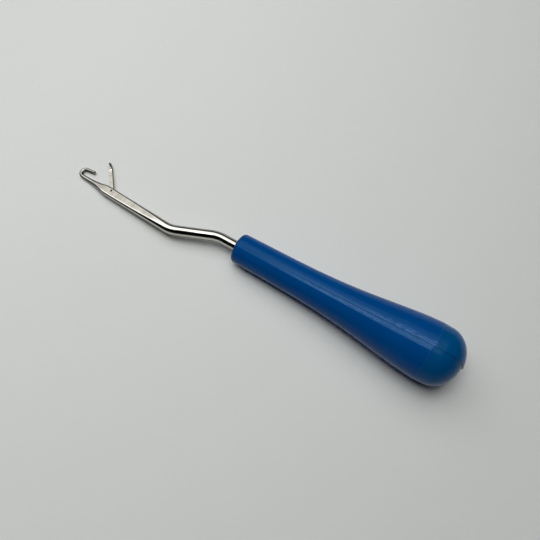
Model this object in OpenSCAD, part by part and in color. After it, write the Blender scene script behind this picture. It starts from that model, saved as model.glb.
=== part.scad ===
// Latch hook with a moulded handle: a cranked steel shank, flattened and slotted near
// its hook for a swinging latch. It lies on its side, as it rests on a table.
// X runs from the hook to the butt of the handle and Z is up. The origin is under the
// middle of its length, on the table.

/* [Handle] */
// Length of the handle, from its neck end to the butt
handle_len = 90.6; // [70:0.1:120]
// Radius of the neck, at its end
neck_r = 5.85; // [5:0.05:7]
// Rounding of the edge at the neck end
neck_edge_r = 1.3; // [0.6:0.1:2.4]
// Length of the nearly straight neck, before the flare
neck_len = 9.6; // [6:0.1:24]
// Taper of the whole grip, on each side, in degrees
grip_draft = 0.95; // [0:0.05:1.5]
// Largest radius of the handle, at the witness ring
butt_r = 11.12; // [9:0.05:13]
// How late the flare swells: 1 is even, more is later
flare_lateness = 1.8; // [1.2:0.1:2.4]
// Length of the land between the witness ring and the dome
ring_land = 2.9; // [1:0.1:5]
// How much the land tapers towards the dome, on each side, in degrees
land_taper = 3; // [1:0.5:6]
// Length of the domed end
dome_len = 9.2; // [5:0.1:14]
// Depth of the witness ring round the butt
ring_depth = 0.1; // [0.05:0.01:0.3]

/* [Shank] */
// Radius of the round rod
rod_r = 2.05; // [1.8:0.05:2.5]
// Straight rod between the handle and the first bend's corner
lead_len = 9.2; // [7:0.1:16]
// Angle that the rod turns by at the first bend, in degrees
crank_angle = 22; // [12:1:35]
// Length between the corners of the two bends
crank_len = 18.8; // [12:0.1:28]
// Radius of the first bend, at the rod's centreline
first_bend_r = 14; // [8:0.5:18]
// Radius of the second bend, at the rod's centreline
second_bend_r = 12; // [8:0.5:16]
// Angle that the blade leans back to the handle's axis, in degrees
blade_lean = 2.5; // [0:0.1:6]
// Length of the rod hidden in the handle
tang_len = 44; // [30:1:60]
// Width of the coined wings that stop the tang turning
wing_w = 6.8; // [5.5:0.1:7.6]
// Thickness of the coined wings
wing_t = 2.2; // [1.4:0.1:3]
// Length of the coined wings
wing_len = 9; // [5:0.5:14]
// Cut across each corner of the wings
wing_corner = 1.4; // [0.8:0.1:2]
// Depth from the neck end to the middle of the wings
wing_depth = 30; // [20:1:36]

/* [Blade] */
// Length of the flattened blade, from the second bend to the rivet
blade_len = 27.4; // [22:0.1:40]
// Thickness of the blade at the rivet
blade_t = 2.9; // [2.2:0.05:3.2]
// Half the width of the blade at the rivet
blade_r = 2.24; // [2:0.01:2.6]
// Length of the blade ahead of the rivet
cheek_len = 3.6; // [3:0.1:6]
// Length over which the blade necks down to the hook wire
shoulder_len = 5.1; // [3:0.1:9]
// How hollow the neck-down is: 1 is a straight cone
shoulder_hollow = 1.6; // [1:0.1:2.4]

/* [Hook] */
// Radius of the hook wire
wire_r = 0.76; // [0.6:0.02:0.9]
// Distance from the rivet to the centre of the hook's turn
reach = 15.3; // [13:0.1:20]
// Radius of the hook's turn, at the wire's centreline
turn_r = 1.7; // [1.4:0.05:2.4]
// Angle that the hook turns through, in degrees
turn_angle = 170; // [150:1:180]
// Length of the hook's point after the turn
point_len = 3.8; // [2.4:0.1:4.4]
// Radius of the wire at its rounded point
point_r = 0.62; // [0.5:0.02:0.8]

/* [Latch] */
// Length of the latch, from the rivet to the lip of its spoon
latch_len = 14.3; // [13:0.1:18]
// Width of the latch in the plane that it swings in
latch_w = 1.3; // [1.2:0.05:1.7]
// Thickness of the latch
latch_t = 0.9; // [0.6:0.05:1.2]
// Radius of the eye round the rivet
eye_r = 1.05; // [0.9:0.05:1.2]
// Length of the spoon at the latch's end
spoon_len = 3.1; // [2.4:0.1:4]
// Wall of the spoon
spoon_wall = 0.2; // [0.15:0.01:0.35]
// Angle that the spoon dips towards the hook, in degrees
spoon_dip = 10; // [5:1:20]
// How far the spoon lies to the latch's hook side
spoon_sink = 0.1; // [0:0.05:0.3]
// Angle of the latch above the blade where the photographed one lies, in degrees
latch_rest = 46.5; // [25:1:150]

/* [Rivet] */
// Radius of the rivet
rivet_r = 0.6; // [0.45:0.05:0.75]
// Height of the rivet over the blade's centreline
rivet_rise = 0.65; // [0:0.05:0.6]
// Radius of the punch mark in each end of the rivet
punch_r = 0.36; // [0.2:0.02:0.5]
// Depth of the punch mark
punch_depth = 0.16; // [0.05:0.01:0.3]

/* [Slot] */
// Radius of the saw that cuts the slot
saw_r = 14; // [12:0.5:20]
// Depth of the slot below the blade's centreline
slot_floor = 1.15; // [0.9:0.05:1.4]

/* [Fits] */
// Gap round the rivet where the latch turns on it
run_fit = 0.04; // [0.02:0.01:0.08]
// Gap between the rivet and the blade that it is closed into
rivet_fit = 0.01; // [0.005:0.005:0.02]
// Gap on each side of the latch in its slot
side_fit = 0.07; // [0.04:0.01:0.12]
// Gap between the spoon's hollow and the hook's point
spoon_fit = 0.08; // [0.06:0.01:0.2]
// Gap between the tang and the plastic moulded round it
tang_fit = 0.02; // [0.01:0.01:0.05]
// Gap between the hook and the table
table_fit = 0.02; // [0.01:0.01:0.1]
// How much the metal thins where it is bent
bend_draw = 0.01; // [0.005:0.005:0.02]

/* [Hidden] */
$fn = 96;
cut = 1;
lap_angle = 1.4;
die_clear = 0.04;
fillet_steps = 8;
flare_steps = 26;
dome_steps = 18;
flat_steps = 16;
shoulder_steps = 10;

ring_x = handle_len - dome_len - ring_land;
dome_r = butt_r - ring_land * tan(land_taper);
flare = butt_r - neck_r - ring_x * tan(grip_draft);
second_angle = crank_angle + blade_lean;
first_run = first_bend_r * tan(crank_angle / 2);
second_run = second_bend_r * tan(second_angle / 2);
crank_run = crank_len - first_run - second_run;
shoulder_x = blade_len + cheek_len;
hook_x = blade_len + reach;
slot_w = latch_t + 2 * side_fit;
spoon_inner_r = point_r + spoon_fit;
spoon_r = spoon_inner_r + spoon_wall;
spoon_x = latch_len - spoon_len * cos(spoon_dip);
flare_places = [
    for (i = [1:flare_steps])
        neck_edge_r + (ring_x - neck_edge_r) * i / flare_steps
];

// Where the centre of the hook's turn lies, from the neck end along the handle's axis
// and to the side that the hook opens to
turn_ahead = lead_len + crank_len * cos(crank_angle)
    + (second_run + hook_x) * cos(blade_lean) - turn_r * sin(blade_lean);
turn_aside = -crank_len * sin(crank_angle)
    + (second_run + hook_x) * sin(blade_lean) + turn_r * cos(blade_lean);
overall_len = handle_len + turn_ahead + turn_r + wire_r;

// The handle leans on the table along the line that touches its neck and its widest
// part, and rolls until the hook touches too
lean = max([for (x = flare_places) atan2(grip_r(x) - neck_r, x - neck_edge_r)]);
lift = neck_r * cos(lean) - neck_edge_r * sin(lean);
hook_gap = lift - turn_ahead * sin(lean) - wire_r - table_fit;
spread = pow(turn_aside, 2) - pow(turn_r, 2);
under = pow(hook_gap, 2) - pow(turn_r * sin(lean), 2);
balance = hook_gap * turn_aside;
roll = asin(-(balance + sqrt(pow(balance, 2) - spread * under)) / spread / cos(lean));

function swell(t) = let (s = pow(t, flare_lateness)) s * s * (3 - 2 * s);
function grip_r(x) = neck_r + x * tan(grip_draft)
    + flare * swell(max(0, x - neck_len) / (ring_x - neck_len));
function flat_z(x) = let (t = 1 - x / blade_len)
    blade_t / 2 + (rod_r + die_clear - blade_t / 2) * t * t;
function shoulder_r(t) = wire_r + (blade_r - wire_r) * pow(1 - t, shoulder_hollow);

// Moves its children from the handle's frame to the table
module lay_down() {
    translate([overall_len / 2 - handle_len, 0, lift])
        rotate([0, -lean, 0])
            rotate([roll, 0, 0])
                children();
}

// Moves its children to a frame with X ahead along the rod from the neck end, and Y to
// the side that the hook opens to
module at_neck() {
    lay_down()
        rotate([0, 180, 0])
            children();
}

// Moves its children to the start of the cranked length
module at_crank() {
    translate([lead_len - first_run + first_bend_r * sin(crank_angle),
        first_bend_r * (cos(crank_angle) - 1), 0])
        rotate([0, 0, -crank_angle])
            children();
}

// Moves its children to the start of the blade
module at_blade() {
    at_crank()
        translate([crank_run + second_bend_r * sin(second_angle),
            second_bend_r * (1 - cos(second_angle)), 0])
            rotate([0, 0, second_angle])
                children();
}

// Moves its children to the rivet
module at_rivet() {
    at_blade()
        translate([blade_len, rivet_rise, 0])
            children();
}

// A round bar along X
module bar(length, r1, r2) {
    rotate([0, 90, 0])
        cylinder(h = length, r1 = r1, r2 = r2);
}

// A shape turned about X, from its outline of places along X and radii
module turned(outline) {
    rotate([90, 0, 90])
        rotate_extrude()
            polygon([for (p = outline) [p[1], p[0]]]);
}

// The rod hidden in the handle, with its coined wings, grown by a gap. It runs on out
// of the handle by the length ahead.
module tang(gap, ahead) {
    half_len = wing_len / 2 + gap;
    half_w = wing_w / 2 + gap;
    translate([-tang_len - gap, 0, 0])
        bar(tang_len + gap + ahead, rod_r + gap, rod_r + gap);
    translate([-wing_depth, 0, -wing_t / 2 - gap])
        linear_extrude(wing_t + 2 * gap)
            polygon([
                [half_len - wing_corner, half_w],
                [wing_corner - half_len, half_w],
                [-half_len, half_w - wing_corner],
                [-half_len, wing_corner - half_w],
                [wing_corner - half_len, -half_w],
                [half_len - wing_corner, -half_w],
                [half_len, wing_corner - half_w],
                [half_len, half_w - wing_corner]
            ]);
}

// One bend of the rod, drawn a little thinner and lapped into the rod on either side
module bend(start, sweep, bend_r, bar_r) {
    rotate([0, 0, start - lap_angle])
        rotate_extrude(angle = sweep + 2 * lap_angle)
            translate([bend_r, 0])
                circle(r = bar_r - bend_draw);
}

// The two bends and the cranked length between them
module crank() {
    translate([lead_len - first_run, -first_bend_r, 0])
        bend(90 - crank_angle, crank_angle, first_bend_r, rod_r);
    at_crank() {
        bar(crank_run, rod_r, rod_r);
        translate([crank_run, second_bend_r, 0])
            bend(-90, second_angle, second_bend_r, rod_r);
    }
}

// The gap between the two crowned dies, which the flats run out of into the round rod
module press_gap() {
    flat_places = [for (i = [0:flat_steps]) blade_len * i / flat_steps];
    rotate([90, 0, 0])
        linear_extrude(6 * blade_r, center = true)
            for (side = [0, 1])
                mirror([0, side])
                    polygon([
                        [-cut, 0],
                        [-cut, flat_z(0)],
                        for (x = flat_places)
                            [x, flat_z(x)],
                        [hook_x + cut, blade_t / 2],
                        [hook_x + cut, 0]
                    ]);
}

// The blade and the arm of the hook, turned to shape and then pressed flat
module blade() {
    intersection() {
        turned([
            [0, 0],
            [0, rod_r],
            for (i = [0:shoulder_steps])
                let (t = i / shoulder_steps)
                    [shoulder_x + shoulder_len * t, shoulder_r(t)],
            [hook_x, wire_r],
            [hook_x, 0]
        ]);
        press_gap();
    }
}

// The slot that the latch swings in, cut by one plunge of a thin saw
module slot() {
    translate([blade_len, saw_r - slot_floor, -slot_w / 2])
        cylinder(h = slot_w, r = saw_r);
}

// The turn of the hook and its rounded point
module hook() {
    translate([hook_x, turn_r, 0]) {
        bend(-90, turn_angle, turn_r, wire_r);
        rotate([0, 0, turn_angle])
            translate([0, -turn_r, 0]) {
                bar(point_len - point_r, wire_r, point_r);
                translate([point_len - point_r, 0, 0])
                    sphere(r = point_r);
            }
    }
}

// The spoon, open on the side that meets the hook's point
module spoon() {
    run = spoon_len - spoon_r;
    difference() {
        union() {
            bar(spoon_r, latch_t / 2, spoon_r);
            translate([spoon_r, 0, 0])
                bar(run - spoon_r, spoon_r, spoon_r);
            translate([run, 0, 0])
                sphere(r = spoon_r);
        }
        translate([run, 0, 0])
            sphere(r = spoon_inner_r);
        translate([spoon_r, 0, 0])
            bar(run - spoon_r, spoon_inner_r, spoon_inner_r);
        translate([-cut, -spoon_r - cut, -spoon_r - cut])
            cube([spoon_len + 2 * cut, spoon_r + cut, 2 * (spoon_r + cut)]);
    }
}

// The plastic handle, moulded round the tang
module handle() {
    color("#0b4580")
        difference() {
            lay_down()
                turned([
                    [0, 0],
                    for (i = [0:fillet_steps])
                        let (a = 90 * i / fillet_steps)
                            [neck_edge_r * (1 - cos(a)), grip_r(0) - neck_edge_r * (1 - sin(a))],
                    for (x = flare_places)
                        [min(x, ring_x - ring_depth), grip_r(x)],
                    [ring_x, butt_r - ring_depth],
                    [ring_x + ring_depth, butt_r],
                    for (i = [0:dome_steps])
                        let (a = 90 * i / dome_steps)
                            [ring_x + ring_land + dome_len * sin(a), dome_r * cos(a)]
                ]);
            at_neck()
                tang(tang_fit, cut);
        }
}

// The plated steel shank: tang, cranked rod, blade and hook in one piece
module shank() {
    color("#b9b6ae")
        at_neck()
            difference() {
                union() {
                    tang(0, lead_len - first_run);
                    crank();
                    at_blade() {
                        blade();
                        hook();
                    }
                }
                at_blade()
                    slot();
                at_rivet()
                    cylinder(h = 4 * blade_t, r = rivet_r + rivet_fit, center = true);
            }
}

// The latch, which swings on the rivet and closes on the hook's point
module latch() {
    color("#c9c4b8")
        at_neck()
            at_rivet()
                rotate([0, 0, latch_rest])
                    difference() {
                        union() {
                            cylinder(h = latch_t, r = eye_r, center = true);
                            translate([0, 0, -latch_t / 2])
                                linear_extrude(latch_t)
                                    polygon([
                                        [0, -latch_w / 2],
                                        [0, latch_w / 2],
                                        [spoon_x + spoon_r, latch_w / 2],
                                        [spoon_x + spoon_r, 0],
                                        [spoon_x - spoon_r, -latch_w / 2]
                                    ]);
                            translate([spoon_x, -spoon_sink, 0])
                                rotate([0, 0, -spoon_dip])
                                    spoon();
                        }
                        cylinder(h = 2 * latch_t, r = rivet_r + run_fit, center = true);
                    }
}

// The rivet, closed flush with the blade and punched in the middle of each end
module rivet() {
    color("#8f8c86")
        at_neck()
            at_rivet()
                difference() {
                    cylinder(h = blade_t, r = rivet_r, center = true);
                    for (side = [-1, 1])
                        translate([0, 0, side * blade_t / 2])
                            cylinder(h = 2 * punch_depth, r1 = side < 0 ? punch_r : 0,
                                r2 = side < 0 ? 0 : punch_r, center = true);
                }
}

handle();
shank();
latch();
rivet();
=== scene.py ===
"""Latch hook with a moulded handle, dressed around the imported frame.

Each piece is drawn in millimetres in a frame of its own and then laid on the table in
metres. In the neck's frame X runs ahead to the hook and Y to the side that it opens to.
"""

import logging
import math
from abc import ABC, abstractmethod
from collections.abc import Callable, Iterable, Iterator, Sequence
from dataclasses import dataclass
from enum import Enum
from functools import cache
from itertools import accumulate
from typing import ClassVar, NamedTuple

import bmesh
import bpy
from bpy.types import Material, Node, NodeSocket, Object
from mathutils import Matrix, Vector


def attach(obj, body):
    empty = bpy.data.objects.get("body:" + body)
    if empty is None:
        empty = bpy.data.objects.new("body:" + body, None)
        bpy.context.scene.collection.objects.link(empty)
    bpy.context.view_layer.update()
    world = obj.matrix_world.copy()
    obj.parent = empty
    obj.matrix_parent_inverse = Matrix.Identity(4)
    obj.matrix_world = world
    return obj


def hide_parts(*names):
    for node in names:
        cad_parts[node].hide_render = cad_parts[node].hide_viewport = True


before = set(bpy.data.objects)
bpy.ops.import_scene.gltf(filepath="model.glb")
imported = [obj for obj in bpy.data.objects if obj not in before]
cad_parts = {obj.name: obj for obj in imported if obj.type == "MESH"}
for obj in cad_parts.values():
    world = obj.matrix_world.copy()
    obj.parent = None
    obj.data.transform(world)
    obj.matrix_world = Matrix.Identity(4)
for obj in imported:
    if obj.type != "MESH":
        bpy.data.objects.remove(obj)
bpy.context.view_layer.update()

log = logging.getLogger("latch_hook")

MM = 0.001
# Half the dies' gap, in millimetres, where no die presses the rod.
OPEN_DIE = 9.0

Point = Span = tuple[float, float]
Triple = tuple[float, float, float]
Loop = list[Vector]


class Body(Enum):
    """The two bodies that the joint moves against each other."""

    TOOL = "tool"
    LATCH = "latch"


def cos_deg(angle: float) -> float:
    """Returns the cosine of an angle in degrees."""
    return math.cos(math.radians(angle))


def sin_deg(angle: float) -> float:
    """Returns the sine of an angle in degrees."""
    return math.sin(math.radians(angle))


def tan_deg(angle: float) -> float:
    """Returns the tangent of an angle in degrees."""
    return math.tan(math.radians(angle))


def smooth(t: float) -> float:
    """Returns an even rise from 0 to 1 as t goes from 0 to 1."""
    t = min(1.0, max(0.0, t))
    return t * t * (3 - 2 * t)


def fade(value: float, start: float, run: float) -> float:
    """Returns an even rise from 0 to 1 over a run that begins at a start."""
    return smooth((value - start) / run)


def even(end: float, steps: int, first: int = 1) -> list[float]:
    """Returns even steps of a length or angle, up to its end."""
    return [end * k / steps for k in range(first, steps + 1)]


def turn(angle: float, axis: str = "Z") -> Matrix:
    """Returns a turn about an axis by an angle in degrees."""
    return Matrix.Rotation(math.radians(angle), 4, axis)


def shift(x: float, y: float = 0.0, z: float = 0.0) -> Matrix:
    """Returns a shift."""
    return Matrix.Translation((x, y, z))


def bend(start: float, radius: float, angle: float, side: float = 1.0) -> Vector:
    """Returns the point at an angle round a bend that leaves X for Y, or for -Y at side -1."""
    return Vector((start + radius * sin_deg(angle), side * radius * (1 - cos_deg(angle)), 0.0))


@dataclass(frozen=True)
class Stance:
    """How the tool lies on the table, and the sizes that its pieces share.

    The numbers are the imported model's own: its lean and roll, the corners of its bends,
    and the tang that the handle is moulded round.
    """

    neck_x: float = -8.1605
    neck_z: float = 5.74588
    lean: float = 3.97264
    roll: float = -2.55349
    rod_r: float = 2.05
    tang_len: float = 44.0
    wing: Triple = (9.0, 6.8, 2.2)
    wing_depth: float = 30.0
    wing_corner: float = 1.4
    bond_gap: float = 0.02
    lead_len: float = 9.2
    crank_angle: float = 22.0
    crank_len: float = 18.8
    first_bend_r: float = 14.0
    second_bend_r: float = 12.0
    blade_lean: float = 2.5
    blade_len: float = 27.4
    rivet_rise: float = 0.65

    @property
    def second_angle(self) -> float:
        """Angle of the second bend, in degrees."""
        return self.crank_angle + self.blade_lean

    @property
    def lead_end(self) -> float:
        """Place of the first bend's start from the neck end."""
        return self.lead_len - self.first_bend_r * tan_deg(self.crank_angle / 2)

    @property
    def crank_run(self) -> float:
        """Straight length between the two bends."""
        first_run = self.first_bend_r * tan_deg(self.crank_angle / 2)
        return self.crank_len - first_run - self.second_bend_r * tan_deg(self.second_angle / 2)

    def handle(self) -> Matrix:
        """Returns the placing of the handle's frame, X from the neck end to the butt."""
        place = Matrix.Scale(MM, 4) @ shift(self.neck_x, 0.0, self.neck_z)
        return place @ turn(-self.lean, "Y") @ turn(self.roll, "X")

    def neck(self) -> Matrix:
        """Returns the placing of the neck's frame, X ahead to the hook."""
        return self.handle() @ turn(180.0, "Y")

    def crank_start(self) -> Matrix:
        """Returns the start of the cranked length in the neck's frame."""
        at = bend(self.lead_end, self.first_bend_r, self.crank_angle, side=-1.0)
        return Matrix.Translation(at) @ turn(-self.crank_angle)

    def blade_start(self) -> Matrix:
        """Returns the start of the blade in the neck's frame."""
        at = bend(self.crank_run, self.second_bend_r, self.second_angle)
        return self.crank_start() @ (Matrix.Translation(at) @ turn(self.second_angle))

    def rivet(self) -> Matrix:
        """Returns the rivet's middle in the neck's frame, with its axis along Z."""
        return self.blade_start() @ shift(self.blade_len, self.rivet_rise)


def link(name: str, data: bpy.types.ID) -> Object:
    """Makes an object of a mesh, lamp or camera and links it to the scene.

    Args:
        name: the new object's name.
        data: what it shows.

    Returns:
        The new object.
    """
    made = bpy.data.objects.new(name, data)
    bpy.context.scene.collection.objects.link(made)
    return made


def loft(name: str, rings: Iterable[Loop]) -> Object:
    """Joins rings of points into one skin, closed at both ends.

    Args:
        name: the new object's name.
        rings: loops of points, each with the same count.

    Returns:
        The new object.
    """
    bm = bmesh.new()
    made = [[bm.verts.new(p) for p in ring] for ring in rings]
    for before, after in zip(made, made[1:]):
        for k in range(len(before)):
            bm.faces.new((before[k - 1], before[k], after[k], after[k - 1]))
    bm.faces.new(made[0][::-1])
    bm.faces.new(made[-1])
    bmesh.ops.remove_doubles(bm, verts=bm.verts, dist=1e-4)
    bmesh.ops.dissolve_degenerate(bm, edges=bm.edges, dist=1e-5)
    bmesh.ops.recalc_face_normals(bm, faces=bm.faces)
    mesh = bpy.data.meshes.new(name)
    bm.to_mesh(mesh)
    bm.free()
    return link(name, mesh)


def turned(name: str, outline: Iterable[Point], sides: int) -> Object:
    """Turns an outline, pairs of place along Z and radius, about Z in so many sides."""
    angles = [2 * math.pi * k / sides for k in range(sides)]
    return loft(name, ([Vector((r * math.cos(a), r * math.sin(a), z)) for a in angles] for z, r in outline))


def bake(piece: Object) -> None:
    """Turns what the modifiers make of a piece into its plain mesh.

    Args:
        piece: the object, whose modifiers are removed.
    """
    bpy.context.view_layer.update()
    graph = bpy.context.evaluated_depsgraph_get()
    made = piece.evaluated_get(graph)
    plain = bpy.data.meshes.new_from_object(made, preserve_all_data_layers=True, depsgraph=graph)
    piece.modifiers.clear()
    piece.data = plain


def cut(piece: Object, cutters: Iterable[Object]) -> None:
    """Takes the cutters out of a piece and removes them.

    Args:
        piece: the object that is cut.
        cutters: the closed objects that are taken out of it.
    """
    for cutter in cutters:
        knife = piece.modifiers.new("cut", "BOOLEAN")
        knife.operation = "DIFFERENCE"
        knife.solver = "EXACT"
        knife.object = cutter
        bake(piece)
        bpy.data.objects.remove(cutter, do_unlink=True)


def store(mesh: bpy.types.Mesh, name: str, values: Sequence[float]) -> None:
    """Stores a number for each vertex of a mesh under a name."""
    mesh.attributes.new(name, "FLOAT", "POINT").data.foreach_set("value", values)


def mark(piece: Object, measure: Callable[[Vector], dict[str, float]]) -> None:
    """Stores the masks that a function gives for each vertex.

    Args:
        piece: the object, drawn in its own frame.
        measure: gives each mask's value at a place, by the mask's name.
    """
    rows = [measure(vertex.co) for vertex in piece.data.vertices]
    for name in rows[0]:
        store(piece.data, name, [row[name] for row in rows])


class NodeTree:
    """Adds and joins the nodes of one tree."""

    def __init__(self, tree: bpy.types.NodeTree) -> None:
        """Starts with a tree, whose old nodes stay."""
        self.tree = tree

    def feed(self, node: Node, inputs: dict[str | int, object]) -> None:
        """Puts nodes, which give their first output, sockets and plain values into inputs.

        Args:
            node: the node that is fed.
            inputs: what goes into each input, by its number, or by its label with _ for a
                space. A colour is three numbers.
        """
        for label, term in inputs.items():
            target = node.inputs[label.replace("_", " ") if isinstance(label, str) else label]
            source = term.outputs[0] if isinstance(term, Node) else term
            if isinstance(source, NodeSocket):
                self.tree.links.new(source, target)
            else:
                target.default_value = (*source, 1.0) if target.type == "RGBA" else source

    def add(self, kind: str, *terms: object, **values: object) -> Node:
        """Adds a node.

        Args:
            kind: the node's Blender type.
            terms: what goes into its first inputs.
            values: what goes into inputs by their labels, which start with a capital, and
                properties of the node by their names.

        Returns:
            The new node.
        """
        node = self.tree.nodes.new(kind)
        inputs: dict[str | int, object] = dict(enumerate(terms))
        for name, value in values.items():
            if name[0].isupper():
                inputs[name] = value
            else:
                setattr(node, name, value)
        self.feed(node, inputs)
        return node

    def maths(self, operation: str, *terms: object) -> NodeSocket:
        """Adds a Math node over its terms and returns its output."""
        return self.add("ShaderNodeMath", *terms, operation=operation).outputs[0]

    def mask(self, name: str) -> NodeSocket:
        """Returns a mask that a mesh stores under a name."""
        return self.add("ShaderNodeAttribute", attribute_name=name).outputs["Fac"]

    def noise(self, **values: object) -> NodeSocket:
        """Adds a Noise node and returns its factor."""
        return self.add("ShaderNodeTexNoise", **values).outputs[0]

    def spread(self, value: object, low: float, high: float, *ends: object) -> NodeSocket:
        """Maps a value from low to high onto two ends, 0 and 1 by default, and holds it there."""
        return self.add("ShaderNodeMapRange", value, low, high, *(ends or (0.0, 1.0))).outputs[0]

    def blend(self, factor: object, first: object, second: object) -> NodeSocket:
        """Mixes two colours.

        Args:
            factor: 0 for the first colour alone, 1 for the second.
            first: the first colour.
            second: the second colour.

        Returns:
            The mixed colour.
        """
        node = self.add("ShaderNodeMix", factor, data_type="RGBA")
        colours = [k for k, socket in enumerate(node.inputs) if socket.type == "RGBA"]
        self.feed(node, dict(zip(colours, (first, second))))
        return next(socket for socket in node.outputs if socket.type == "RGBA")


class Skin(NodeTree):
    """The nodes of a new material."""

    def __init__(self, name: str) -> None:
        """Starts a material with its plain shader.

        Args:
            name: the material's name.
        """
        self.material = bpy.data.materials.new(name)
        self.material.use_nodes = True
        super().__init__(self.material.node_tree)

    def place(self) -> NodeSocket:
        """Returns the Object coordinates."""
        return self.add("ShaderNodeTexCoord").outputs["Object"]

    def dress(self, **inputs: object) -> Material:
        """Feeds the shader's inputs by their labels and returns the material."""
        self.feed(self.tree.nodes["Principled BSDF"], inputs)
        return self.material


def start_group(name: str, inputs: dict[str, float | None], outputs: Iterable[str]) -> NodeTree:
    """Starts a shader group.

    Args:
        name: the group's name.
        inputs: the default of each input, or None for a vector.
        outputs: names of the float outputs.

    Returns:
        The helper of its tree.
    """
    tree = bpy.data.node_groups.new(name, "ShaderNodeTree")
    for label, default in inputs.items():
        kind = "NodeSocketVector" if default is None else "NodeSocketFloat"
        socket = tree.interface.new_socket(name=label, in_out="INPUT", socket_type=kind)
        if default is not None:
            socket.default_value = default
    for label in outputs:
        tree.interface.new_socket(name=label, in_out="OUTPUT", socket_type="NodeSocketFloat")
    return NodeTree(tree)


@cache
def handling_marks() -> bpy.types.NodeTree:
    """Makes the group of soft smudges and hair scratches that handling leaves, once.

    Returns:
        The tree. Its output Smudge is a soft mask and Scratch one of thin stray lines.
    """
    inputs = {"Vector": None, "Smudge Scale": 120.0, "Scratch Scale": 500.0, "Seed": 0.0}
    net = start_group("handling_marks", inputs, ("Smudge", "Scratch"))
    place, smudge_scale, scratch_scale, seed, _ = net.add("NodeGroupInput").outputs
    feeds = {"Vector": place, "W": seed, "Scale": smudge_scale, "noise_dimensions": "4D"}
    smudge = net.noise(Detail=4.0, **feeds)
    warp = net.add("ShaderNodeTexNoise", Detail=1.0, **feeds).outputs["Color"]
    reach = (0.004, 0.004, 0.004)
    bent = net.add("ShaderNodeVectorMath", warp, reach, place, operation="MULTIPLY_ADD")
    lines = net.add("ShaderNodeTexVoronoi", Vector=bent, Scale=scratch_scale, feature="DISTANCE_TO_EDGE")
    thin, few = net.spread(lines, 0.0, 0.03, 1.0, 0.0), net.spread(smudge, 0.5, 0.62)
    net.add("NodeGroupOutput", net.spread(smudge, 0.42, 0.68), net.maths("MULTIPLY", thin, few))
    return net.tree


@cache
def brush_marks() -> bpy.types.NodeTree:
    """Makes the group of straight brush marks of a belt or wheel, once.

    Its input Along is the place in metres across the marks.

    Returns:
        The tree. Its output Lines is a mask of fine bars and Bands one of broad bars.
    """
    inputs = {"Along": 0.0, "Vector": None, "Line Scale": 9000.0, "Seed": 0.0}
    net = start_group("brush_marks", inputs, ("Lines", "Bands"))
    along, vector, scale, seed, _ = net.add("NodeGroupInput").outputs
    wobble = net.noise(Vector=vector, Scale=400.0, Detail=1.0)
    place = net.maths("ADD", along, net.maths("MULTIPLY", wobble, 0.00025))
    place = net.maths("ADD", place, seed)
    masks = []
    for share, detail in ((1.0, 3.0), (0.16, 2.0)):
        bar_scale = net.maths("MULTIPLY", scale, share)
        bars = net.noise(W=place, Scale=bar_scale, Detail=detail, noise_dimensions="1D")
        masks.append(net.spread(bars, 0.3, 0.7))
    net.add("NodeGroupOutput", *masks)
    return net.tree


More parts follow.
